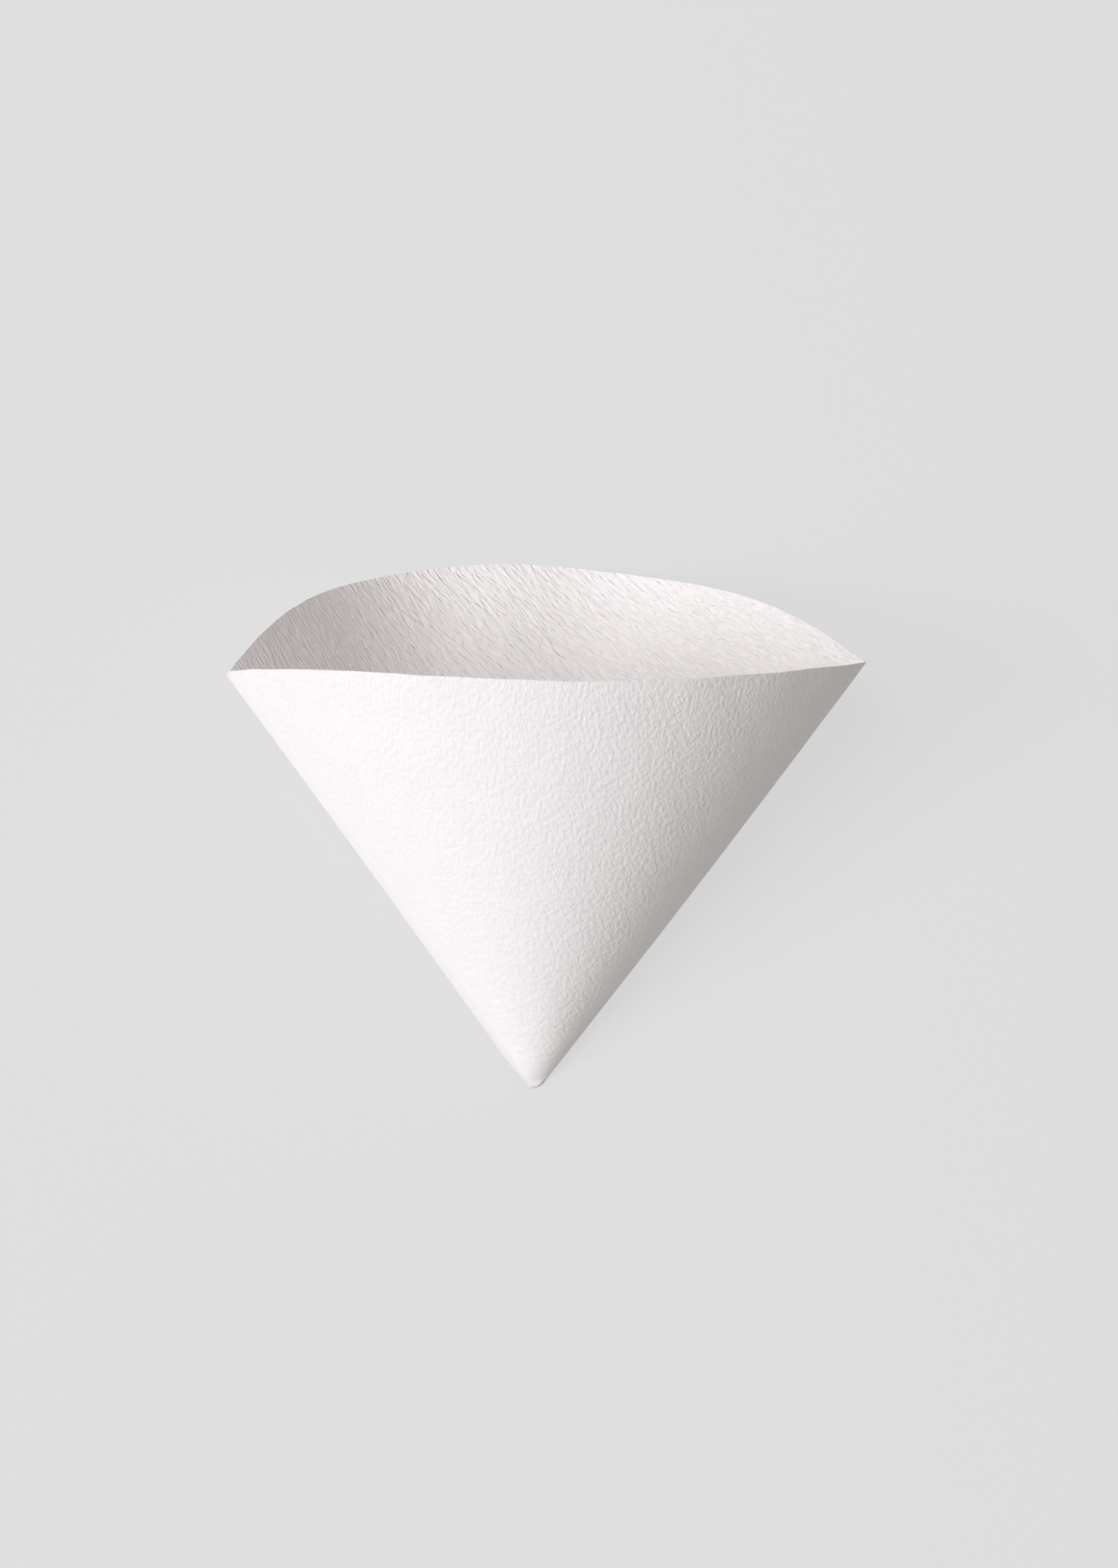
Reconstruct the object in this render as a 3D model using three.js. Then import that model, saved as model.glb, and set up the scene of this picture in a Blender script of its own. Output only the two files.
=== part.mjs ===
// A cone-shaped paper coffee filter: one half disc of crepe paper, folded once, its two straight edges pressed
// together as a seam, and opened for use. It lies on the flat middle of its back wall, tip towards -Y and mouth
// towards +Y, with the seam at -X and the fold at +X. Millimetres, +Z up, origin under the middle of its box.

import * as THREE from 'three';
import { mergeGeometries, mergeVertices } from 'three/addons/utils/BufferGeometryUtils.js';

// The flat sheet. Each wall is a sector of it, centred on the point where the seam and the fold would meet.
const slantLength = 118;
const wallAngle = 90;
const paperThickness = 0.25;

// The pressed seam stands out of the seam line by its width. It narrows at the tip, which is rounded, and runs
// out around it to the fold.
const seamWidth = 1.1;
const seamWidthAtTip = 0.6;
const tipRadius = 1.9;

// How it is opened: the angle between the seam and the fold, and the length over which the walls part at the tip.
const openAngle = 71.5;
const tipPartingLength = 8;

// The front wall's belly, at the height of the two rim corners: how far in from the seam and from the fold the
// two pulls of its curve stand, and how much deeper the seam's pull is than the fold's.
const frontSeamPull = 51.4;
const frontFoldPull = 20.8;
const frontPullRatio = 1.89;

// The back wall, at the same height: a flat panel in the middle, and a curve on either side of it. Each curve
// leaves its crease towards a pull, which stands at a share of the wall's depth, and runs level into the panel.
const panelWidth = 19.2;
const panelOffset = 1.5;
const backSeamPull = 23;
const backSeamLift = 0.44;
const backFoldPull = 26.6;
const backFoldLift = 0.28;
const panelRun = 30;

// How finely the curves are divided.
const sideColumns = 18;
const panelColumns = 4;
const rows = 10;

const columns = 2 * sideColumns + panelColumns;
const halfOpen = THREE.MathUtils.degToRad(openAngle) / 2;
const cornerHeight = slantLength * Math.cos(halfOpen);
const halfMouth = slantLength * Math.sin(halfOpen);
const panelStart = panelOffset - panelWidth / 2;
const panelEnd = panelOffset + panelWidth / 2;

// The walls' sections, across the axis at the corners' height: points (x, distance from the crease plane).

function frontSection(pull) {
  return new THREE.CubicBezierCurve(
    new THREE.Vector2(-halfMouth, 0),
    new THREE.Vector2(-halfMouth + frontSeamPull, pull * frontPullRatio),
    new THREE.Vector2(halfMouth - frontFoldPull, pull),
    new THREE.Vector2(halfMouth, 0)
  );
}

function backSection(depth) {
  const section = new THREE.CurvePath();
  section.add(new THREE.CubicBezierCurve(
    new THREE.Vector2(-halfMouth, 0),
    new THREE.Vector2(-halfMouth + backSeamPull, depth * backSeamLift),
    new THREE.Vector2(panelStart - panelRun, depth),
    new THREE.Vector2(panelStart, depth)
  ));
  section.add(new THREE.LineCurve(new THREE.Vector2(panelStart, depth), new THREE.Vector2(panelEnd, depth)));
  section.add(new THREE.CubicBezierCurve(
    new THREE.Vector2(panelEnd, depth),
    new THREE.Vector2(panelEnd + panelRun, depth),
    new THREE.Vector2(halfMouth - backFoldPull, depth * backFoldLift),
    new THREE.Vector2(halfMouth, 0)
  ));
  return section;
}

// The angle that a section takes up when the wall is laid flat again.
function flatAngle(section) {
  const steps = 240;
  const previous = new THREE.Vector3();
  const direction = new THREE.Vector3();
  let total = 0;
  for (let step = 0; step <= steps; step += 1) {
    const point = section.getPoint(step / steps);
    direction.set(point.x, point.y, cornerHeight);
    if (step > 0) {
      total += direction.angleTo(previous);
    }
    previous.copy(direction);
  }
  return THREE.MathUtils.radToDeg(total);
}

// Paper doesn't stretch, so a wall bellies out until it takes up its whole sector.
function bellyOut(makeSection) {
  let low = 0;
  let high = 2 * slantLength;
  for (let round = 0; round < 60; round += 1) {
    const middle = (low + high) / 2;
    if (flatAngle(makeSection(middle)) < wallAngle) {
      low = middle;
    } else {
      high = middle;
    }
  }
  return low;
}

const backDepth = bellyOut(backSection);
const front = { side: -1, curves: [frontSection(bellyOut(frontSection))] };
const back = { side: 1, curves: backSection(backDepth).curves };

// The depth of a section at one place across it. Past a crease it goes on to the other side of the crease plane.
function depthAt(wall, across) {
  if (Math.abs(across) > halfMouth) {
    const past = Math.sign(across) * halfMouth;
    return -depthAt(wall, 2 * past - across);
  }
  const curve = wall.curves.find((part) => across <= part.getPoint(1).x) ?? wall.curves.at(-1);
  let low = 0;
  let high = 1;
  for (let round = 0; round < 50; round += 1) {
    const middle = (low + high) / 2;
    if (curve.getPoint(middle).x < across) {
      low = middle;
    } else {
      high = middle;
    }
  }
  return curve.getPoint(low).y;
}

// Where the walls start, on a line from the cone's point at an angle in the crease plane: the rounded tip's arc.
function tipStart(angle) {
  const centre = tipRadius / Math.sin(halfOpen);
  const across = centre * Math.sin(angle);
  return centre * Math.cos(angle) - Math.sqrt(Math.max(0, tipRadius ** 2 - across ** 2));
}

// The inner face's distance from the crease plane, over the point (x, z) of that plane.
function openHeight(wall, x, z) {
  const reach = Math.hypot(x, z);
  const start = tipStart(Math.atan2(x, z));
  const parting = 1 - Math.min(1, (reach - start) / tipPartingLength);
  const slope = depthAt(wall, x / z * cornerHeight) / Math.hypot(x / z * cornerHeight, cornerHeight);
  return slope * (reach - start * parting ** 2);
}

// The outward direction of a wall over a point of the crease plane.
function wallNormal(wall, x, z) {
  const step = 0.001;
  const slopeX = (openHeight(wall, x + step, z) - openHeight(wall, x - step, z)) / (2 * step);
  const slopeZ = (openHeight(wall, x, z + step) - openHeight(wall, x, z - step)) / (2 * step);
  return new THREE.Vector3(-slopeX, wall.side, -slopeZ).normalize();
}

// The columns' places across the section: closer together at the creases, even on the flat panel.
function columnPlace(column) {
  if (column <= sideColumns) {
    const turn = 1 - Math.cos(column / sideColumns * Math.PI / 2);
    return -halfMouth + (panelStart + halfMouth) * turn;
  }
  if (column < sideColumns + panelColumns) {
    return panelStart + (column - sideColumns) / panelColumns * panelWidth;
  }
  const turn = 1 - Math.cos((columns - column) / sideColumns * Math.PI / 2);
  return halfMouth - (halfMouth - panelEnd) * turn;
}

// A point of a wall's inner face. Rows run from the tip's arc to the rim, closer together at the tip.
function innerPoint(wall, column, row) {
  const across = columnPlace(column);
  const angle = Math.atan2(across, cornerHeight);
  const slope = depthAt(wall, across) / Math.hypot(across, cornerHeight);
  const rim = slantLength / Math.hypot(1, slope);
  const start = tipStart(angle);
  const reach = start + (rim - start) * (row / rows) ** 2;
  const x = reach * Math.sin(angle);
  const z = reach * Math.cos(angle);
  return new THREE.Vector3(x, wall.side * openHeight(wall, x, z), z);
}

// The edge runs down the seam, around the tip and up the fold. Its stations are [column, row].
const stations = [];
for (let row = rows; row > 0; row -= 1) {
  stations.push([0, row]);
}
for (let column = 0; column <= columns; column += 1) {
  stations.push([column, 0]);
}
for (let row = 1; row <= rows; row += 1) {
  stations.push([columns, row]);
}

// The edge's outward direction in the crease plane.
function edgeDirection(column) {
  const angle = Math.atan2(columnPlace(column), cornerHeight);
  const centre = tipRadius / Math.sin(halfOpen);
  const start = tipStart(angle);
  return new THREE.Vector3(start * Math.sin(angle), 0, start * Math.cos(angle) - centre).normalize();
}

// How far the edge stands out, a share of the way around the tip or, at the seam, a length up from it.
function edgeWidth(around, length) {
  if (around > 0) {
    return THREE.MathUtils.lerp(seamWidthAtTip, paperThickness, around);
  }
  return THREE.MathUtils.lerp(seamWidthAtTip, seamWidth, Math.min(1, length / tipPartingLength));
}

// Five points across the edge, from the front wall's outer face to the back wall's. At the seam they are a flat
// strip of two thicknesses, at the fold they go round it, and around the tip the strip turns into the fold.
function edgePoints(column, row) {
  const inner = innerPoint(front, column, row);
  const outward = edgeDirection(column);
  const angle = Math.atan2(inner.x, inner.z);
  const around = (angle + halfOpen) / (2 * halfOpen);
  const seamShare = 1 - around ** 2;
  const width = edgeWidth(column > 0 ? around : 0, Math.hypot(inner.x, inner.z) - tipStart(angle));
  const pressed = (wall, distance) => inner.clone()
    .addScaledVector(outward, distance)
    .add(new THREE.Vector3(0, wall.side * paperThickness, 0));
  const folded = (direction) => inner.clone().addScaledVector(direction, paperThickness);
  const sidePoints = [front, back].map((wall) => {
    const normal = wallNormal(wall, inner.x, inner.z);
    const mitre = paperThickness * Math.sqrt((1 - Math.abs(normal.y)) / (1 + Math.abs(normal.y)));
    const halfway = normal.clone().add(outward).normalize();
    return [
      folded(normal).lerp(pressed(wall, mitre), seamShare),
      folded(halfway).lerp(pressed(wall, width), seamShare)
    ];
  });
  const crest = inner.clone().addScaledVector(outward, width);
  return [...sidePoints[0], crest, ...sidePoints[1].reverse()];
}

// A point of a wall's outer face, which ends on the edge.
function outerPoint(wall, column, row) {
  if (row === 0 || column === 0 || column === columns) {
    return edgePoints(column, row).at(wall === front ? 0 : -1);
  }
  const point = innerPoint(wall, column, row);
  return point.clone().addScaledVector(wallNormal(wall, point.x, point.z), paperThickness);
}

// A grid whose vertices are placed one by one. It faces the way that its columns turned to its rows point.
function layGrid(across, along, place) {
  const grid = new THREE.PlaneGeometry(1, 1, across, along);
  const position = grid.getAttribute('position');
  for (let vertex = 0; vertex < position.count; vertex += 1) {
    const column = vertex % (across + 1);
    const row = along - Math.floor(vertex / (across + 1));
    const point = place(column, row);
    position.setXYZ(vertex, point.x, point.y, point.z);
  }
  grid.deleteAttribute('normal');
  grid.deleteAttribute('uv');
  return grid;
}

function facesOf(wall) {
  const leftToRight = (column) => (wall === front ? column : columns - column);
  const rightToLeft = (column) => columns - leftToRight(column);
  const outer = layGrid(columns, rows, (column, row) => outerPoint(wall, leftToRight(column), row));
  const inner = layGrid(columns, rows, (column, row) => innerPoint(wall, rightToLeft(column), row));
  const rim = layGrid(columns, 1, (column, row) => (
    row === 0 ? outerPoint(wall, leftToRight(column), rows) : innerPoint(wall, leftToRight(column), rows)
  ));
  return [outer, inner, rim];
}

function edgeFaces() {
  const band = layGrid(4, stations.length - 1, (place, station) => edgePoints(...stations[station])[place]);
  const seamEnd = layGrid(4, 1, (place, row) => (
    row === 0 ? edgePoints(0, rows)[4 - place] : innerPoint(front, 0, rows)
  ));
  const foldEnd = layGrid(4, 1, (place, row) => (
    row === 0 ? edgePoints(columns, rows)[place] : innerPoint(front, columns, rows)
  ));
  return [band, seamEnd, foldEnd];
}

// One closed body: shared vertices are joined, and the triangles that shrank to a line there are left out.
function closedBody(grids) {
  const body = mergeVertices(mergeGeometries(grids), 1e-4);
  const corners = body.getIndex().array;
  const kept = [];
  for (let first = 0; first < corners.length; first += 3) {
    const [a, b, c] = corners.slice(first, first + 3);
    if (a !== b && b !== c && c !== a) {
      kept.push(a, b, c);
    }
  }
  body.setIndex(kept);
  return body;
}

const paper = new THREE.MeshStandardMaterial({ color: 0xf4f2f1, roughness: 0.95, metalness: 0 });
const cone = new THREE.Mesh(closedBody([...facesOf(front), ...facesOf(back), ...edgeFaces()]), paper);
cone.name = 'paper_cone';

// The cone is turned about X until its flat panel is level, and then set down.
cone.rotation.x = Math.atan2(backDepth, cornerHeight) - Math.PI / 2;
const filter = new THREE.Group();
filter.name = 'cone_filter';
filter.add(cone);
const box = new THREE.Box3().setFromObject(filter, true);
const middle = box.getCenter(new THREE.Vector3());
cone.position.set(-middle.x, -middle.y, -box.min.z);
cone.geometry.computeVertexNormals();

export default filter;
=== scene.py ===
"""A cone-shaped paper coffee filter of white crepe paper, opened for use and lying on its back wall."""

import math

import bmesh
import bpy
from bpy.props import FloatProperty, FloatVectorProperty, IntProperty, PointerProperty
from mathutils import Matrix, Vector, noise
from mathutils.geometry import interpolate_bezier


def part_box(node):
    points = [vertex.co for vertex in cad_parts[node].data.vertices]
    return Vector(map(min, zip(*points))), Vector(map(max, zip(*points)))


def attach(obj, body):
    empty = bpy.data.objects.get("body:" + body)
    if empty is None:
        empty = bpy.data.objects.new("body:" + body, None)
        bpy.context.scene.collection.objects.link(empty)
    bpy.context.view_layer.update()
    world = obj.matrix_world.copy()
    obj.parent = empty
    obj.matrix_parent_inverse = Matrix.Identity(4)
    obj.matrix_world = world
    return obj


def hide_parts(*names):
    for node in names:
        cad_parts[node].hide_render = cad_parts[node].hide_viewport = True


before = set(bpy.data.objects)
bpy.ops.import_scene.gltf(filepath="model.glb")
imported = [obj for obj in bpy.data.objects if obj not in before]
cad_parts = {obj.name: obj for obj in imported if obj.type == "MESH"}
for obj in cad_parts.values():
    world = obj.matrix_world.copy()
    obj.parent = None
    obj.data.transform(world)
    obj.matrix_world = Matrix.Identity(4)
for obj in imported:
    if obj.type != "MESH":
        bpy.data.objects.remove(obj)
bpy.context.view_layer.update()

bl_info = {
    "name": "Cone coffee filter",
    "version": (1, 0, 0),
    "blender": (4, 5, 0),
    "location": "3D View > Sidebar > Coffee filter",
    "description": "Makes a cone paper coffee filter and the studio it lies in",
    "category": "Mesh",
}

NODE = "paper_cone"
CURVE_POINTS = 160
HALVINGS = 40
FRONT, BACK = -1, 1

# Points nearer than ON_LINE to the seam line or the fold are on it, and points nearer than MERGED are one.
ON_LINE = 1e-7
MERGED = 1e-6
SHORTEST_EDGE = 2e-6

# The sheet's columns crowd towards the fold by this power.
COLUMN_POWER = 1.2

# Slow waves in the walls: their size, their gain, and how soon they fade below the rim.
WAVE_SIZE = (0.016, 0.012)
WAVE_SEED = 3.0
WAVE_GAIN = 0.9
WAVE_FADE = 3

# The back wall's curl: a share of the way from the seam to the fold, its spread, and its fade below the rim.
CURL_PLACE = 0.94
CURL_SPREAD = 0.035
CURL_FADE = 6

# The cut rim's unevenness, in the same terms.
RIM_STEP = 0.006
RIM_SEED = 21.0
RIM_GAIN = 0.8
RIM_FADE = 12

# The seam's and the fold's bows fade over a third of either wall.
BOW_FADE = 3

# How the crepe ridges run on the flat sheet: bent on the front wall, sloping and bent on the back wall. The
# bends are for one metre from the fold.
FRONT_RIDGE_BEND = 2.25
BACK_RIDGE_SLOPE = 0.16
BACK_RIDGE_BEND = 1.2

# The share of the outer crepe that is left at the seam, at the fold and on the wall beside the seam, and how
# far round from the seam the wall has all of it.
RELIEF_AT_SEAM = 0.1
RELIEF_AT_FOLD = 0.35
RELIEF_BY_SEAM = 0.5
RELIEF_TURN = math.radians(63)

# Seam widths over which the crepe comes back, and over which the mesh and the seam's tone do.
CREPE_EASE = 3
SEAM_EASE = 1.5

# The mesh holds the broader relief: its waves over the crepe's, its seeds, and the inner face's own height,
# which is a share of the thickness.
OUTER_BREADTH = (2, 2)
INNER_BREADTH = (1.5, 2)
OUTER_SEED = 3.0
INNER_SEED = 40.0
INNER_HEIGHT = 0.04

# A noise's waves are longer than its scale, so the scales are shares of the pitch and the length.
RIDGE_SCALE = (0.67, 0.65)
CREASE_SCALE = (0.75, 0.8)
CREASE_WIDTH = 0.14

# The depths of the fibres and the creases over the ridges', and the darkest tone of the mottling.
FIBRE_DEPTH = 0.1
CREASE_DEPTH = 0.12
MOTTLE_TONE = 0.98

# Blender's numbers for the colour sockets of a Mix node.
MIX_A, MIX_B, MIX_RESULT = 6, 7, 2

# The floor fades to the backdrop's colour between these shares of its size.
FLOOR_FADE = (0.15, 0.48)

# The lamps aim at this share of the slant, up the cone's axis.
AIM_SHARE = 0.6


def eased(least, share):
    """From the least at a share of 0 to 1 at a share of 1."""
    return least + (1 - least) * share


class SheetSizes(bpy.types.PropertyGroup):
    """The flat half disc of paper, its seam and its rounded tip."""

    slant_length: FloatProperty(
        name="Slant length", description="From the cone's point to the rim", default=0.118, unit="LENGTH")
    wall_angle: FloatProperty(
        name="Wall angle", description="Sector of flat sheet in each wall",
        default=math.radians(90), subtype="ANGLE")
    thickness: FloatProperty(
        name="Thickness", description="Thickness of the paper with its crepe", default=0.00025, unit="LENGTH")
    seam_width: FloatProperty(
        name="Seam width", description="Width of the pressed strip along the seam",
        default=0.0011, unit="LENGTH")
    seam_width_at_tip: FloatProperty(
        name="Seam width at the tip", description="Width to which the strip narrows",
        default=0.0006, unit="LENGTH")
    tip_radius: FloatProperty(
        name="Tip radius", description="Radius of the inside of the rounded tip",
        default=0.0019, unit="LENGTH")
    tip_parting: FloatProperty(
        name="Tip parting", description="Length over which the walls part", default=0.008, unit="LENGTH")


class WallShape(bpy.types.PropertyGroup):
    """How the cone is opened: the walls' sections at the height of the two rim corners."""

    open_angle: FloatProperty(
        name="Open angle", description="Between the seam and the fold",
        default=math.radians(71.5), subtype="ANGLE")
    front_seam_pull: FloatProperty(
        name="Front seam pull", description="How far in the seam's pull stands",
        default=0.0514, unit="LENGTH")
    front_fold_pull: FloatProperty(
        name="Front fold pull", description="How far in the fold's pull stands",
        default=0.0208, unit="LENGTH")
    front_pull_ratio: FloatProperty(
        name="Front pull ratio", description="Depth of the seam's pull over the fold's", default=1.89)
    panel_width: FloatProperty(
        name="Panel width", description="Width of the back wall's flat panel", default=0.0192, unit="LENGTH")
    panel_offset: FloatProperty(
        name="Panel offset", description="The panel's place towards the fold", default=0.0015, unit="LENGTH")
    panel_run: FloatProperty(
        name="Panel run", description="How far the curves run level into the panel",
        default=0.030, unit="LENGTH")
    back_seam_pull: FloatProperty(
        name="Back seam pull", description="How far in the seam's pull stands", default=0.023, unit="LENGTH")
    back_seam_lift: FloatProperty(
        name="Back seam lift", description="The pull's share of the wall's depth",
        default=0.44, subtype="FACTOR")
    back_fold_pull: FloatProperty(
        name="Back fold pull", description="How far in the fold's pull stands", default=0.0266, unit="LENGTH")
    back_fold_lift: FloatProperty(
        name="Back fold lift", description="The pull's share of the wall's depth",
        default=0.28, subtype="FACTOR")
    fold_bow: FloatProperty(
        name="Fold bow", description="How far the fold bows out at its middle",
        default=0.00055, unit="LENGTH")
    fold_curl: FloatProperty(
        name="Fold curl", description="How far the back wall curls out at the rim beside the fold",
        default=0.0007, unit="LENGTH")
    sway: FloatProperty(
        name="Sway", description="Depth of the slow waves in the walls near the rim",
        default=0.0003, unit="LENGTH")
    rim_uneven: FloatProperty(
        name="Rim unevenness", description="How far the cut rim wanders", default=0.00016, unit="LENGTH")
    tip_pressed: FloatProperty(
        name="Pressed tip", description="Length at the tip where the walls lie flat together",
        default=0.0012, unit="LENGTH")
    tip_lean: FloatProperty(
        name="Tip lean", description="How far the rounded tip leans to the seam",
        default=0.0004, unit="LENGTH")
    seam_bow: FloatProperty(
        name="Seam bow", description="How far the seam bows out at its middle",
        default=-0.00027, unit="LENGTH")


class CrepeFinish(bpy.types.PropertyGroup):
    """The crepe's relief, the mesh that holds it, the paper's colours, and its painted shade."""

    columns: IntProperty(
        name="Columns", description="Cells along the crepe ridges", default=136)
    rows: IntProperty(
        name="Rows", description="Cells across the crepe ridges, from the seam to the rim at the fold",
        default=296)
    ridge_pitch: FloatProperty(
        name="Ridge pitch", description="Distance between the inner wall's ridges",
        default=0.0015, unit="LENGTH")
    ridge_length: FloatProperty(
        name="Ridge length", description="Length of the inner wall's ridges", default=0.0048, unit="LENGTH")
    ridge_depth: FloatProperty(
        name="Ridge depth", description="Height of the inner wall's ridges", default=0.00054, unit="LENGTH")
    grain_pitch: FloatProperty(
        name="Grain pitch", description="Distance between the outer wall's grains",
        default=0.0014, unit="LENGTH")
    grain_length: FloatProperty(
        name="Grain length", description="Length of the outer wall's grains", default=0.0022, unit="LENGTH")
    grain_depth: FloatProperty(
        name="Grain depth", description="Height of the outer wall's grains", default=0.00033, unit="LENGTH")
    # Painted shade: the outer colour is darkened along the pressed seam strip and fades out on the wall
    # beside it.
    seam_shade: FloatProperty(
        name="Seam tone", description="How much darker the pressed seam is", default=0.06, subtype="FACTOR")
    # Painted shade: the inner wall's thin crease lines are darkened in colour, as shade would fall in them.
    crease_shade: FloatProperty(
        name="Ridge tone", description="How much darker the inner wall's valleys are",
        default=0.06, subtype="FACTOR")
    swell: FloatProperty(
        name="Swell", description="Depth of the broader unevenness in the paper",
        default=0.00004, unit="LENGTH")
    pressed_width: FloatProperty(
        name="Pressed width", description="Width beside the fold where the outer grain is pressed out",
        default=0.011, unit="LENGTH")
    fold_smooth: FloatProperty(
        name="Fold smooth", description="Width of the smoothed paper beside the fold",
        default=0.0030, unit="LENGTH")
    outside_color: FloatVectorProperty(
        name="Outside colour", description="Colour of the outer face",
        default=(0.92, 0.903, 0.925), subtype="COLOR", min=0, max=1)
    inside_color: FloatVectorProperty(
        name="Inside colour", description="Colour of the inner face",
        default=(0.93, 0.898, 0.91), subtype="COLOR", min=0, max=1)
    roughness: FloatProperty(
        name="Roughness", description="Roughness of the paper", default=0.95, subtype="FACTOR")


class StudioSettings(bpy.types.PropertyGroup):
    """The floor, the lights and the camera."""

    floor_size: FloatProperty(
        name="Floor size", description="Side of the square floor", default=4.0, unit="LENGTH")
    floor_color: FloatVectorProperty(
        name="Floor colour", description="Colour of the floor",
        default=(0.76, 0.76, 0.76), subtype="COLOR", min=0, max=1)
    backdrop_color: FloatVectorProperty(
        name="Backdrop colour", description="Colour that the camera sees past the floor",
        default=(0.737, 0.737, 0.737), subtype="COLOR", min=0, max=1)
    floor_shadow: FloatProperty(
        name="Floor shadow", description="How much of the lamps' light and shadow shows on the floor",
        default=0.16, subtype="FACTOR")
    fill_strength: FloatProperty(
        name="Fill strength", description="Strength of the even light from all round", default=0.298)
    fill_color: FloatVectorProperty(
        name="Fill colour", description="Colour of the even light",
        default=(1.0, 0.94, 0.855), subtype="COLOR", min=0, max=1)
    lamp_size: FloatProperty(
        name="Lamp size", description="Side of each square soft lamp", default=0.7, unit="LENGTH")
    lamp_color: FloatVectorProperty(
        name="Lamp colour", description="Colour of both lamps",
        default=(0.985, 0.985, 1.0), subtype="COLOR", min=0, max=1)
    lamp_distance: FloatProperty(
        name="Lamp distance", description="From the filter to each lamp", default=2.4, unit="LENGTH")
    side_energy: FloatProperty(
        name="Side lamp energy", description="Power of the lamp at the left", default=28.0, unit="POWER")
    side_turn: FloatProperty(
        name="Side lamp turn", description="Turn of that lamp to the camera's left",
        default=math.radians(40), subtype="ANGLE")
    side_rise: FloatProperty(
        name="Side lamp rise", description="Its rise over the camera's line of sight",
        default=math.radians(-5), subtype="ANGLE")
    front_energy: FloatProperty(
        name="Front lamp energy", description="Power of the lamp beside the camera",
        default=24.5, unit="POWER")
    front_turn: FloatProperty(
        name="Front lamp turn", description="Turn of that lamp to the camera's left",
        default=math.radians(10), subtype="ANGLE")
    front_rise: FloatProperty(
        name="Front lamp rise", description="Its rise over the camera's line of sight",
        default=math.radians(10), subtype="ANGLE")
    camera_turn: FloatProperty(
        name="Camera turn", description="Turn of the camera about the cone's axis, towards the seam",
        default=math.radians(14.6), subtype="ANGLE")
    camera_tilt: FloatProperty(
        name="Camera tilt", description="Tilt of the camera down into the mouth",
        default=math.radians(15.87), subtype="ANGLE")
    camera_roll: FloatProperty(
        name="Camera roll", description="Roll of the camera", default=math.radians(2.72), subtype="ANGLE")
    camera_offset: FloatVectorProperty(
        name="Camera offset", description="Right of, in front of and above the cone's point, as it is seen",
        default=(0.00517, 0.7485, 0.0671), subtype="TRANSLATION")
    frame_height: FloatProperty(
        name="Frame height", description="Height of the picture where the cone's point is",
        default=0.34185, unit="LENGTH")


class Wall:
    """One wall's section, as a table over the angle of flat sheet from the seam."""

    def __init__(self, side, points, corner_height):
        self.side = side
        self.directions = [Vector((p.x, side * p.y, corner_height)).normalized() for p in points]
        self.angles = [0.0]
        for first, second in zip(self.directions, self.directions[1:]):
            self.angles.append(self.angles[-1] + first.angle(second, 0.0))
        scale = 1.0 / self.angles[-1]
        self.shares = [angle * scale for angle in self.angles]

    def flat_angle(self):
        return self.angles[-1]

    def at(self, share):
        """The direction and the outward normal at a share of the way from the seam to the fold."""
        low, high = 0, len(self.shares) - 1
        while high - low > 1:
            middle = (low + high) // 2
            if self.shares[middle] <= share:
                low = middle
            else:
                high = middle
        span = self.shares[high] - self.shares[low]
        part = (share - self.shares[low]) / span if span > 0 else 0.0
        before = self.directions[max(low - 1, 0)]
        after = self.directions[min(high + 1, len(self.directions) - 1)]
        direction = self.directions[low].lerp(self.directions[high], part).normalized()
        normal = (after - before).cross(direction).normalized()
        return direction, normal * (-self.side)


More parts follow.
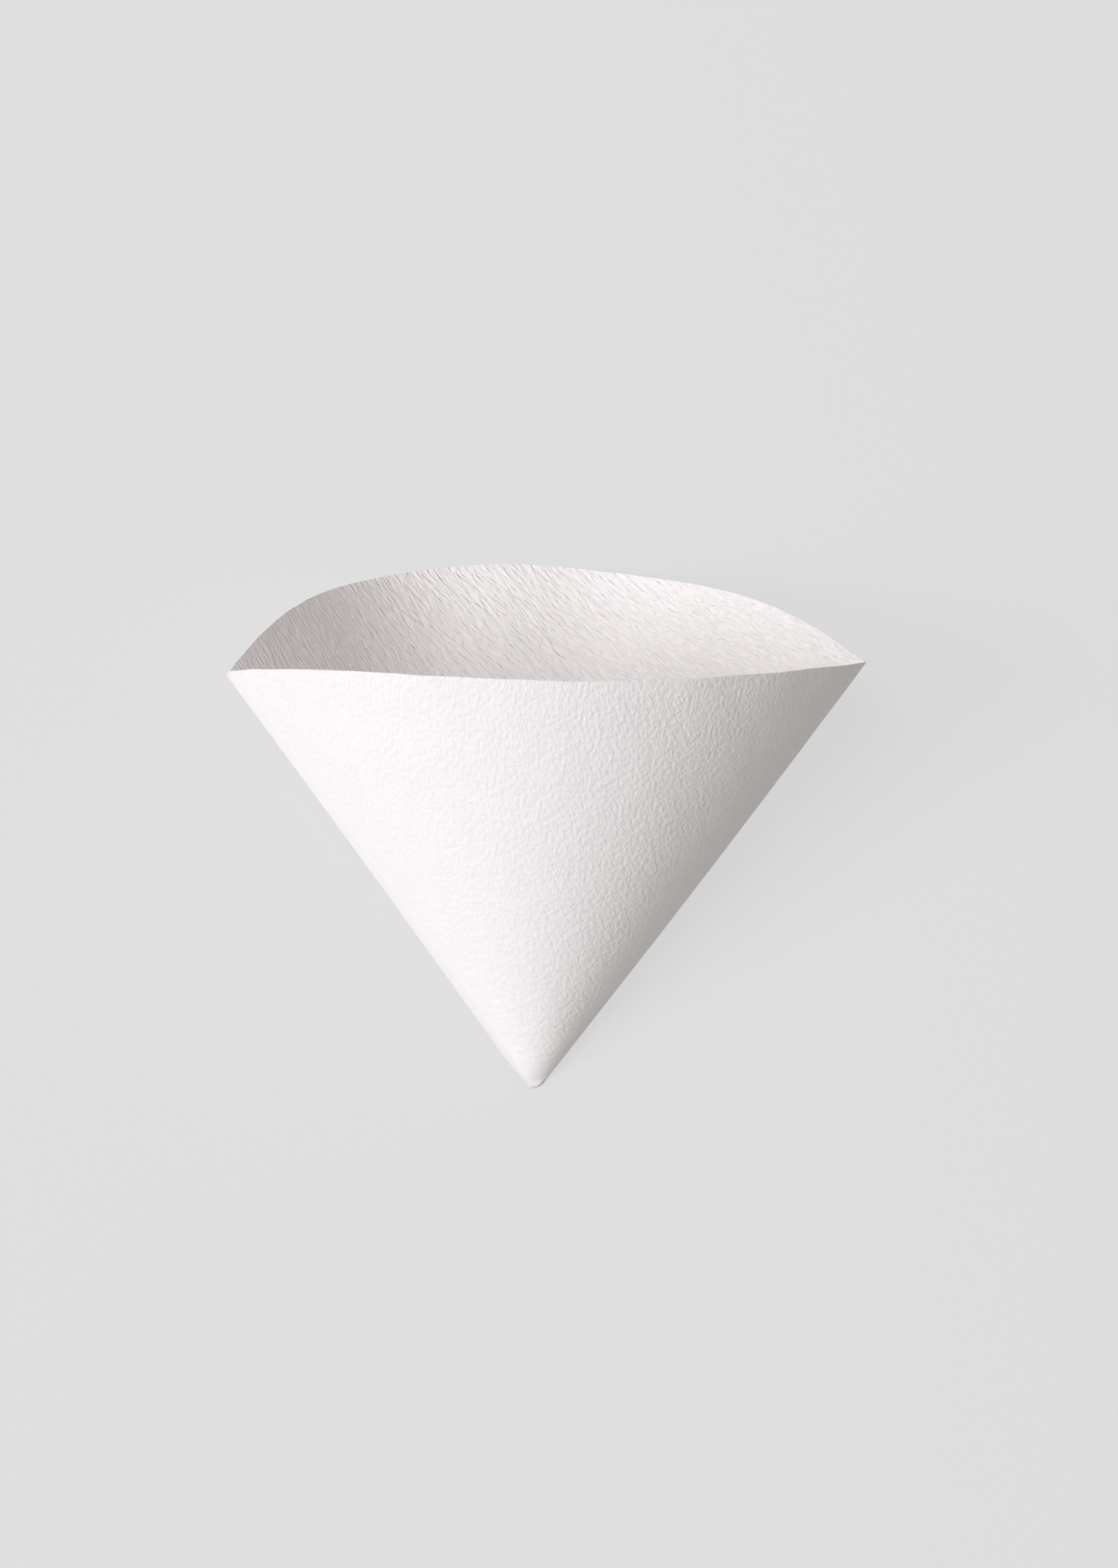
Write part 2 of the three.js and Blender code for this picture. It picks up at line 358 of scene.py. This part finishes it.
class Cone:
    """The opened filter: takes a point of the flat sheet to its place, tip at the origin and mouth up."""

    def __init__(self, sheet, shape):
        self.sheet = sheet
        self.shape = shape
        self.half_open = shape.open_angle / 2
        self.corner_height = sheet.slant_length * math.cos(self.half_open)
        self.half_mouth = sheet.slant_length * math.sin(self.half_open)
        self.tip_centre = sheet.tip_radius / math.sin(self.half_open)
        self.front = self.belly_out(self.front_wall)
        self.back = self.belly_out(self.back_wall)

    def curve(self, *knots):
        points = [Vector((x, y, 0)) for x, y in knots]
        return interpolate_bezier(*points, CURVE_POINTS)

    def front_wall(self, pull):
        shape = self.shape
        points = self.curve(
            (-self.half_mouth, 0),
            (-self.half_mouth + shape.front_seam_pull, pull * shape.front_pull_ratio),
            (self.half_mouth - shape.front_fold_pull, pull),
            (self.half_mouth, 0))
        return Wall(FRONT, points, self.corner_height)

    def back_wall(self, depth):
        shape = self.shape
        start = shape.panel_offset - shape.panel_width / 2
        end = shape.panel_offset + shape.panel_width / 2
        seam_side = self.curve(
            (-self.half_mouth, 0),
            (-self.half_mouth + shape.back_seam_pull, depth * shape.back_seam_lift),
            (start - shape.panel_run, depth),
            (start, depth))
        fold_side = self.curve(
            (end, depth),
            (end + shape.panel_run, depth),
            (self.half_mouth - shape.back_fold_pull, depth * shape.back_fold_lift),
            (self.half_mouth, 0))
        self.back_depth = depth
        return Wall(BACK, seam_side + fold_side, self.corner_height)

    def belly_out(self, make_wall):
        """Paper doesn't stretch: the wall whose flat angle is the sheet's."""
        low, high = 0.0, 2 * self.sheet.slant_length
        for _ in range(HALVINGS):
            middle = (low + high) / 2
            if make_wall(middle).flat_angle() < self.sheet.wall_angle:
                low = middle
            else:
                high = middle
        return make_wall(low)

    def tip_start(self, angle):
        """How far from the cone's point the rounded tip begins, at an angle from the cone's axis."""
        across = self.tip_centre * math.sin(angle)
        half_chord = math.sqrt(max(0.0, self.sheet.tip_radius ** 2 - across ** 2))
        return self.tip_centre * math.cos(angle) - half_chord

    def opened_at(self, reach, angle):
        """The share by which the walls have parted: 0 where the tip is pressed flat."""
        pressed_end = self.tip_start(angle) + self.shape.tip_pressed
        if reach <= pressed_end:
            return 0.0
        parting = 1 - min(1.0, (reach - pressed_end) / self.sheet.tip_parting)
        return 1 - pressed_end * parting ** 2 / reach

    def seam_width_at(self, length):
        """The strip's width at a length up from the tip."""
        sheet = self.sheet
        share = min(1.0, max(0.0, length) / sheet.tip_parting)
        return sheet.seam_width_at_tip + (sheet.seam_width - sheet.seam_width_at_tip) * share

    def round_tip(self, point):
        """Holds a point of the crease plane inside the rounded tip's outline."""
        sheet = self.sheet
        from_centre = Vector((point.x, 0, point.z - self.tip_centre))
        angle = math.atan2(from_centre.x, -from_centre.z)
        reach = math.pi / 2 - self.half_open
        if abs(angle) >= reach:
            return point
        around = (angle + reach) / (2 * reach)
        width = sheet.seam_width_at_tip + (sheet.thickness - sheet.seam_width_at_tip) * around
        limit = sheet.tip_radius + width
        share = min(1.0, from_centre.length / limit)
        if from_centre.length > limit:
            from_centre *= limit / from_centre.length
        lean = self.shape.tip_lean * share ** 2 * math.cos(math.pi / 2 * angle / reach) ** 2
        return Vector((from_centre.x - lean, point.y, self.tip_centre + from_centre.z))

    def bow(self, length, from_seam):
        """The crease plane's own unevenness: the seam and the fold aren't quite straight."""
        swell = math.sin(math.pi * min(1.0, length / self.sheet.slant_length))
        outward = Vector((math.cos(self.half_open), 0, -math.sin(self.half_open)))
        near_fold = max(0.0, 1 - (1 - from_seam) * BOW_FADE) ** 2
        near_seam = max(0.0, 1 - from_seam * BOW_FADE) ** 2
        at_fold = outward * (self.shape.fold_bow * swell * near_fold)
        at_seam = Vector((-outward.x, 0, outward.z)) * (self.shape.seam_bow * swell * near_seam)
        return at_fold + at_seam

    def sink(self, x, y, length, from_seam, side):
        """How far the wall stands off its smooth form: slow waves near the rim, and the curl by the fold."""
        share = length / self.sheet.slant_length
        middle = math.sin(math.pi * from_seam)
        wave = noise.noise((x / WAVE_SIZE[0], y / WAVE_SIZE[1], WAVE_SEED + side)) * WAVE_GAIN
        inward = max(-0.5, min(0.5, wave)) - 0.5
        waves = self.shape.sway * inward * share ** WAVE_FADE * min(1.0, 2 * middle)
        if side == FRONT:
            return waves
        curl = math.exp(-((from_seam - CURL_PLACE) / CURL_SPREAD) ** 2) * share ** CURL_FADE
        return waves + self.shape.fold_curl * curl

    def place(self, x, y, height):
        """The place of the flat sheet's point (x, y), at a height over its inner face."""
        sheet = self.sheet
        side = FRONT if x < 0 else BACK
        wall = self.front if side == FRONT else self.back
        length = math.hypot(x, max(y, 0.0))
        from_seam = math.atan2(max(y, 0.0), abs(x)) / (math.pi / 2) if length > 0 else 1.0
        wander = 0.5 + RIM_GAIN * noise.noise((x / RIM_STEP, y / RIM_STEP, RIM_SEED))
        near_rim = (length / sheet.slant_length) ** RIM_FADE
        height += self.sink(x, y, length, from_seam, side)
        direction, normal = wall.at(from_seam)
        point = direction * (length - self.shape.rim_uneven * min(1.0, max(0.0, wander)) * near_rim)
        flat = Vector((0, side, 0))
        angle = math.atan2(point.x, point.z) if length > 0 else 0.0
        reach = math.hypot(point.x, point.z)
        opened = self.opened_at(reach, angle)
        point.y *= opened
        normal = flat.lerp(normal, opened).normalized()
        outward = Vector((-math.cos(self.half_open), 0, -math.sin(self.half_open)))
        if y < 0:
            strip = self.seam_width_at(reach - self.tip_start(angle))
            point += outward * (-y / sheet.seam_width * strip)
            normal = flat
        elif y < ON_LINE and opened > 0:
            upright = abs(normal.y)
            normal = flat + outward * math.sqrt((1 - upright) / (1 + upright))
        elif abs(x) < ON_LINE:
            normal = Vector((-outward.x, 0, outward.z))
        point += self.bow(length, from_seam)
        return self.round_tip(point + normal * height)


def crepe_line(x, y):
    """The number that stays the same along one crepe ridge: the ridges bend a little on either wall."""
    if x < 0:
        return y - FRONT_RIDGE_BEND * x ** 2
    return y + BACK_RIDGE_SLOPE * x - BACK_RIDGE_BEND * x ** 2


def relief_share(x, y, outer, sheet, crepe):
    """How much of the crepe is left: none in the inner seam, and less outside by the seam and by the fold."""
    from_seam = min(1.0, max(0.0, y) / (sheet.seam_width * CREPE_EASE))
    if not outer:
        return from_seam
    from_fold = min(1.0, abs(x) / crepe.pressed_width)
    turned = min(1.0, math.atan2(max(0.0, y), abs(x)) / RELIEF_TURN)
    seam_share = eased(RELIEF_AT_SEAM, from_seam)
    return seam_share * eased(RELIEF_AT_FOLD, from_fold ** 2) * eased(RELIEF_BY_SEAM, turned)


def crepe_ridges(x, y, pitch, length, seed):
    """Uneven ridges along x, from -1 to 1: broad ones that wander, and fine ones over them."""
    drift_scale, drift_gain = 0.4, 0.9
    broad_across, broad_gain, broad_seed = 0.8, 1.5, seed + 5.0
    fine_along, fine_across, fine_gain, fine_seed = 2.3, 1.6, 0.7, seed + 11.0
    drift = noise.noise((x / length * drift_scale, y / length * drift_scale, seed)) * drift_gain
    broad = noise.noise((x / length, y / pitch * broad_across + drift, broad_seed))
    fine = noise.noise((x / length * fine_along, y / pitch * fine_across + drift, fine_seed))
    return max(-1.0, min(1.0, broad_gain * broad + fine_gain * fine))


def flat_sheet(sheet, crepe):
    """The half disc as a slab of unit height: rows along the crepe, and a strip past the straight edge."""
    radius = sheet.slant_length
    bm = bmesh.new()
    bmesh.ops.create_grid(bm, x_segments=crepe.columns, y_segments=crepe.rows, size=1)
    for vert in bm.verts:
        up = (vert.co.y + 1) / 2
        along = math.copysign(abs(vert.co.x) ** COLUMN_POWER, vert.co.x) if abs(vert.co.x) > MERGED else 0.0
        vert.co = Vector((radius * math.sqrt(max(0.0, 1 - up ** 2)) * along, radius * up, 0))
    bmesh.ops.remove_doubles(bm, verts=bm.verts[:], dist=MERGED)
    edges = [edge for edge in bm.edges if all(vert.co.y < ON_LINE for vert in edge.verts)]
    for _ in range(2):
        grown = bmesh.ops.extrude_edge_only(bm, edges=edges)["geom"]
        edges = [item for item in grown if isinstance(item, bmesh.types.BMEdge)]
        moved = [item for item in grown if isinstance(item, bmesh.types.BMVert)]
        bmesh.ops.translate(bm, vec=(0, -sheet.seam_width / 2, 0), verts=moved)
    bmesh.ops.recalc_face_normals(bm, faces=bm.faces[:])
    layer = bmesh.ops.extrude_face_region(bm, geom=bm.faces[:])["geom"]
    raised = [item for item in layer if isinstance(item, bmesh.types.BMVert)]
    bmesh.ops.translate(bm, vec=(0, 0, 1), verts=raised)
    bmesh.ops.recalc_face_normals(bm, faces=bm.faces[:])
    return bm


def paper_height(x, y, outer, sheet, crepe):
    """How high a point of either face stands over the sheet's inner side, with the crepe's broad relief."""
    beside_fold = min(1.0, abs(x) / crepe.fold_smooth)
    beside_seam = min(1.0, max(0.0, y) / (sheet.seam_width * SEAM_EASE))
    ease = beside_fold * beside_seam
    if outer:
        pitch, length = crepe.grain_pitch * OUTER_BREADTH[0], crepe.grain_length * OUTER_BREADTH[1]
        relief = crepe_ridges(x, y, pitch, length, OUTER_SEED) * crepe.swell
        return sheet.thickness - crepe.swell + relief * ease
    pitch, length = crepe.ridge_pitch * INNER_BREADTH[0], crepe.ridge_length * INNER_BREADTH[1]
    relief = crepe_ridges(x, y, pitch, length, INNER_SEED) * crepe.swell
    return sheet.thickness * INNER_HEIGHT + crepe.swell * beside_seam + relief * ease


def seat(cone, sheet):
    """Turns the upright cone on to its flat panel and sets it in the frame's box."""
    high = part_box(NODE)[1]
    turn = math.atan2(cone.back_depth, cone.corner_height) - math.pi / 2
    across = high.x - cone.half_mouth - sheet.thickness * math.cos(cone.half_open)
    shift = Matrix.Translation((across, high.y - sheet.slant_length, sheet.thickness))
    return shift @ Matrix.Rotation(turn, 4, "X")


def socket(node, name, value):
    node.inputs[name].default_value = value


class PaperNodes:
    """The node tree of one paper material. Its textures are laid along the flat sheet."""

    def __init__(self, material):
        material.use_nodes = True
        self.nodes = material.node_tree.nodes
        self.links = material.node_tree.links
        self.shader = self.nodes["Principled BSDF"]
        self.sheet = self.attribute("sheet").outputs["Vector"]
        parts = self.nodes.new("ShaderNodeSeparateXYZ")
        self.links.new(self.sheet, parts.inputs["Vector"])
        self.relief = parts.outputs["Z"]

    def attribute(self, name):
        node = self.nodes.new("ShaderNodeAttribute")
        node.attribute_name = name
        node.attribute_type = "GEOMETRY"
        return node

    def grain(self, across, along, detail, rough, bend=0.0):
        """Noise with a size across the ridges and one along them."""
        mapping = self.nodes.new("ShaderNodeMapping")
        socket(mapping, "Scale", (1 / along, 1 / across, 0))
        self.links.new(self.sheet, mapping.inputs["Vector"])
        texture = self.nodes.new("ShaderNodeTexNoise")
        socket(texture, "Scale", 1.0)
        socket(texture, "Detail", detail)
        socket(texture, "Roughness", rough)
        socket(texture, "Distortion", bend)
        self.links.new(mapping.outputs["Vector"], texture.inputs["Vector"])
        return texture.outputs["Fac"]

    def bump(self, height, distance, below=None):
        """A relief, as strong as the share of the crepe that is left, over the one below."""
        node = self.nodes.new("ShaderNodeBump")
        socket(node, "Distance", distance)
        self.links.new(self.relief, node.inputs["Strength"])
        self.links.new(height, node.inputs["Height"])
        if below:
            self.links.new(below, node.inputs["Normal"])
        return node.outputs["Normal"]

    def ramp(self, value, low, high, start=0.0, end=1.0):
        """One colour up to the start, the other from the end on, and a blend between them."""
        node = self.nodes.new("ShaderNodeValToRGB")
        first, last = node.color_ramp.elements
        first.position, last.position = start, end
        first.color, last.color = (*low, 1), (*high, 1)
        self.links.new(value, node.inputs["Fac"])
        return node.outputs["Color"]

    def multiply(self, first, second):
        node = self.nodes.new("ShaderNodeMix")
        node.data_type = "RGBA"
        node.blend_type = "MULTIPLY"
        socket(node, 0, 1.0)
        self.links.new(first, node.inputs[MIX_A])
        self.links.new(second, node.inputs[MIX_B])
        return node.outputs[MIX_RESULT]

    def creases(self, pitch, length, width):
        """Thin lines where a noise passes its middle: 0 in a line, and 1 beside it."""
        from_middle = self.nodes.new("ShaderNodeMath")
        from_middle.operation = "SUBTRACT"
        socket(from_middle, 1, 0.5)
        folds = self.grain(across=pitch, along=length, detail=1.0, rough=0.5, bend=0.2)
        self.links.new(folds, from_middle.inputs[0])
        apart = self.nodes.new("ShaderNodeMath")
        apart.operation = "ABSOLUTE"
        self.links.new(from_middle.outputs[0], apart.inputs[0])
        lines = self.nodes.new("ShaderNodeMapRange")
        lines.interpolation_type = "SMOOTHSTEP"
        socket(lines, "From Max", width)
        self.links.new(apart.outputs[0], lines.inputs["Value"])
        return lines.outputs["Result"]


def grey(level):
    return (level, level, level)


def paper_material(name, color, seam_shade, roughness, pitch, length, depth, valley_shade):
    """Matt crepe paper: faint mottling, painted seam shade, ridges, and creases with painted shade if given.
    """
    material = bpy.data.materials.new(name)
    paper = PaperNodes(material)
    links, shader = paper.links, paper.shader
    socket(shader, "Roughness", roughness)
    socket(shader, "Specular IOR Level", 0.15)

    mottle = paper.grain(across=0.004, along=0.011, detail=3.0, rough=0.6)
    shaded = [channel * MOTTLE_TONE for channel in color]
    mottled = paper.ramp(mottle, shaded, color, start=0.3, end=0.7)
    # Painted shade along the pressed seam, laid by the seam's mask.
    strip = paper.ramp(paper.attribute("pressed").outputs["Fac"], grey(1), grey(1 - seam_shade))
    toned = paper.multiply(mottled, strip)

    fibres = paper.grain(across=0.00025, along=0.0004, detail=2.0, rough=0.6)
    normal = paper.bump(fibres, depth * FIBRE_DEPTH)
    if valley_shade:
        creases = paper.creases(pitch * CREASE_SCALE[0], length * CREASE_SCALE[1], CREASE_WIDTH)
        # Painted shade in the crease lines.
        toned = paper.multiply(toned, paper.ramp(creases, grey(1 - valley_shade), grey(1)))
        normal = paper.bump(creases, depth * CREASE_DEPTH, normal)
    across, along = pitch * RIDGE_SCALE[0], length * RIDGE_SCALE[1]
    ridges = paper.grain(across, along, detail=2.0, rough=0.47, bend=0.12)
    links.new(toned, shader.inputs["Base Color"])
    links.new(paper.bump(ridges, depth, normal), shader.inputs["Normal"])
    return material


class FILTER_OT_paper_cone(bpy.types.Operator):
    """Make the folded and seamed cone of crepe paper"""

    bl_idname = "coffee_filter.paper_cone"
    bl_label = "Paper cone"

    def execute(self, context):
        sheet, crepe = context.scene.filter_sheet, context.scene.filter_crepe
        cone = Cone(sheet, context.scene.filter_shape)
        turned = seat(cone, sheet)
        bm = flat_sheet(sheet, crepe)
        flat_place = bm.verts.layers.float_vector.new("sheet")
        pressed = bm.verts.layers.float.new("pressed")
        for face in bm.faces:
            heights = {round(vert.co.z) for vert in face.verts}
            face.material_index = 1 if heights == {0} else 0
            face.smooth = len(heights) == 1
        for vert in bm.verts:
            x, y, layer = vert.co
            vert[flat_place] = (x, crepe_line(x, y), relief_share(x, y, layer > 0.5, sheet, crepe))
            # The mask of the painted seam shade: 1 on the strip, fading out over the wall beside it.
            vert[pressed] = max(0.0, 1 - max(0.0, y) / (sheet.seam_width * SEAM_EASE))
            vert.co = turned @ cone.place(x, y, paper_height(x, y, layer > 0.5, sheet, crepe))
        bmesh.ops.dissolve_degenerate(bm, dist=SHORTEST_EDGE, edges=bm.edges[:])
        bm.normal_update()
        for edge in bm.edges:
            edge.smooth = all(face.smooth for face in edge.link_faces)
        mesh = bpy.data.meshes.new("crepe_paper_cone")
        bm.to_mesh(mesh)
        bm.free()
        piece = bpy.data.objects.new("crepe_paper_cone", mesh)
        context.scene.collection.objects.link(piece)
        outside = paper_material(
            "paper_outside", crepe.outside_color, crepe.seam_shade, crepe.roughness,
            crepe.grain_pitch, crepe.grain_length, crepe.grain_depth, 0)
        inside = paper_material(
            "paper_inside", crepe.inside_color, 0, crepe.roughness,
            crepe.ridge_pitch, crepe.ridge_length, crepe.ridge_depth, crepe.crease_shade)
        mesh.materials.append(outside)
        mesh.materials.append(inside)
        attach(piece, "root")
        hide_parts(NODE)
        return {"FINISHED"}


def camera_frame(settings, turned):
    """The camera's place and turn. It looks at the upright cone's front wall and down into its mouth."""
    look = (Matrix.Rotation(settings.camera_roll, 4, "Y")
            @ Matrix.Rotation(settings.camera_tilt, 4, "X")
            @ Matrix.Rotation(settings.camera_turn, 4, "Z"))
    right, front, above = settings.camera_offset
    stand = Matrix.Translation((right, -front, above)) @ Matrix.Rotation(math.pi / 2, 4, "X")
    return turned @ look.inverted() @ stand


def floor_material(settings):
    """Plain pale grey. The camera sees it evenly lit, with a share of the lamps' light near the middle."""
    material = bpy.data.materials.new("floor_grey")
    material.use_nodes = True
    nodes, links = material.node_tree.nodes, material.node_tree.links
    shader = nodes["Principled BSDF"]
    socket(shader, "Base Color", (*settings.floor_color, 1))
    socket(shader, "Roughness", 1.0)
    socket(shader, "Specular IOR Level", 0.0)
    even = nodes.new("ShaderNodeEmission")
    socket(even, "Color", (*settings.backdrop_color, 1))
    place = nodes.new("ShaderNodeTexCoord")
    away = nodes.new("ShaderNodeVectorMath")
    away.operation = "LENGTH"
    links.new(place.outputs["Object"], away.inputs[0])
    evenness = nodes.new("ShaderNodeMapRange")
    socket(evenness, "From Min", settings.floor_size * FLOOR_FADE[0])
    socket(evenness, "From Max", settings.floor_size * FLOOR_FADE[1])
    socket(evenness, "To Min", 1 - settings.floor_shadow)
    links.new(away.outputs["Value"], evenness.inputs["Value"])
    seen = nodes.new("ShaderNodeLightPath")
    share = nodes.new("ShaderNodeMath")
    share.operation = "MULTIPLY"
    links.new(seen.outputs["Is Camera Ray"], share.inputs[0])
    links.new(evenness.outputs["Result"], share.inputs[1])
    mix = nodes.new("ShaderNodeMixShader")
    links.new(share.outputs[0], mix.inputs[0])
    links.new(shader.outputs[0], mix.inputs[1])
    links.new(even.outputs[0], mix.inputs[2])
    links.new(mix.outputs[0], nodes["Material Output"].inputs["Surface"])
    return material


def add_lamp(scene, name, energy, turn, rise, view, aim):
    """A square soft lamp, placed as the camera sees it and turned to the filter."""
    settings = scene.filter_studio
    data = bpy.data.lights.new(name, "AREA")
    data.shape = "SQUARE"
    data.size = settings.lamp_size
    data.energy = energy
    data.color = settings.lamp_color
    lamp = bpy.data.objects.new(name, data)
    toward = Vector((-math.sin(turn) * math.cos(rise), math.sin(rise), math.cos(turn) * math.cos(rise)))
    lamp.location = aim + view.to_3x3() @ toward * settings.lamp_distance
    lamp.rotation_euler = (aim - lamp.location).to_track_quat("-Z", "Y").to_euler()
    scene.collection.objects.link(lamp)


class FILTER_OT_studio(bpy.types.Operator):
    """Make the floor, the soft lights and the camera"""

    bl_idname = "coffee_filter.studio"
    bl_label = "Studio"

    def execute(self, context):
        scene, settings = context.scene, context.scene.filter_studio
        bm = bmesh.new()
        bmesh.ops.create_grid(bm, x_segments=1, y_segments=1, size=settings.floor_size / 2)
        mesh = bpy.data.meshes.new("studio_floor")
        bm.to_mesh(mesh)
        bm.free()
        floor = bpy.data.objects.new("studio_floor", mesh)
        scene.collection.objects.link(floor)
        mesh.materials.append(floor_material(settings))

        world = bpy.data.worlds.new("studio_light")
        world.use_nodes = True
        nodes, links = world.node_tree.nodes, world.node_tree.links
        fill = nodes["Background"]
        socket(fill, "Color", (*settings.fill_color, 1))
        socket(fill, "Strength", settings.fill_strength)
        backdrop = nodes.new("ShaderNodeBackground")
        socket(backdrop, "Color", (*settings.backdrop_color, 1))
        seen = nodes.new("ShaderNodeLightPath")
        mix = nodes.new("ShaderNodeMixShader")
        links.new(seen.outputs["Is Camera Ray"], mix.inputs[0])
        links.new(fill.outputs[0], mix.inputs[1])
        links.new(backdrop.outputs[0], mix.inputs[2])
        links.new(mix.outputs[0], nodes["World Output"].inputs["Surface"])
        scene.world = world

        sheet, shape = scene.filter_sheet, scene.filter_shape
        turned = seat(Cone(sheet, shape), sheet)
        view = camera_frame(settings, turned)
        aim = turned @ Vector((0, 0, sheet.slant_length * AIM_SHARE))
        side = (settings.side_energy, settings.side_turn, settings.side_rise)
        front = (settings.front_energy, settings.front_turn, settings.front_rise)
        add_lamp(scene, "side_lamp", *side, view, aim)
        add_lamp(scene, "front_lamp", *front, view, aim)

        camera_data = bpy.data.cameras.new("camera")
        camera_data.sensor_width = 36.0
        camera_data.lens = camera_data.sensor_width * settings.camera_offset[1] / settings.frame_height
        camera_data.clip_start = 0.01
        camera = bpy.data.objects.new("camera", camera_data)
        camera.matrix_world = view
        scene.collection.objects.link(camera)
        scene.camera = camera
        scene.view_settings.view_transform = "Standard"
        return {"FINISHED"}


class FILTER_PT_panel(bpy.types.Panel):
    """The filter's pieces and the studio, in the sidebar"""

    bl_idname = "FILTER_PT_panel"
    bl_label = "Coffee filter"
    bl_space_type = "VIEW_3D"
    bl_region_type = "UI"
    bl_category = "Coffee filter"

    def draw(self, context):
        for operator in (FILTER_OT_paper_cone, FILTER_OT_studio):
            self.layout.operator(operator.bl_idname)
        for name, _ in SETTINGS:
            group = getattr(context.scene, name)
            box = self.layout.box()
            for key in group.bl_rna.properties.keys():
                if key not in {"name", "rna_type"}:
                    box.prop(group, key)


SETTINGS = (
    ("filter_sheet", SheetSizes),
    ("filter_shape", WallShape),
    ("filter_crepe", CrepeFinish),
    ("filter_studio", StudioSettings),
)
CLASSES = (*(group for _, group in SETTINGS), FILTER_OT_paper_cone, FILTER_OT_studio, FILTER_PT_panel)


def register():
    for item in CLASSES:
        bpy.utils.register_class(item)
    for name, group in SETTINGS:
        setattr(bpy.types.Scene, name, PointerProperty(type=group))


def unregister():
    for name, _ in SETTINGS:
        delattr(bpy.types.Scene, name)
    for item in reversed(CLASSES):
        bpy.utils.unregister_class(item)


def main():
    register()
    bpy.ops.coffee_filter.paper_cone()
    bpy.ops.coffee_filter.studio()


if __name__ == "__main__":
    main()
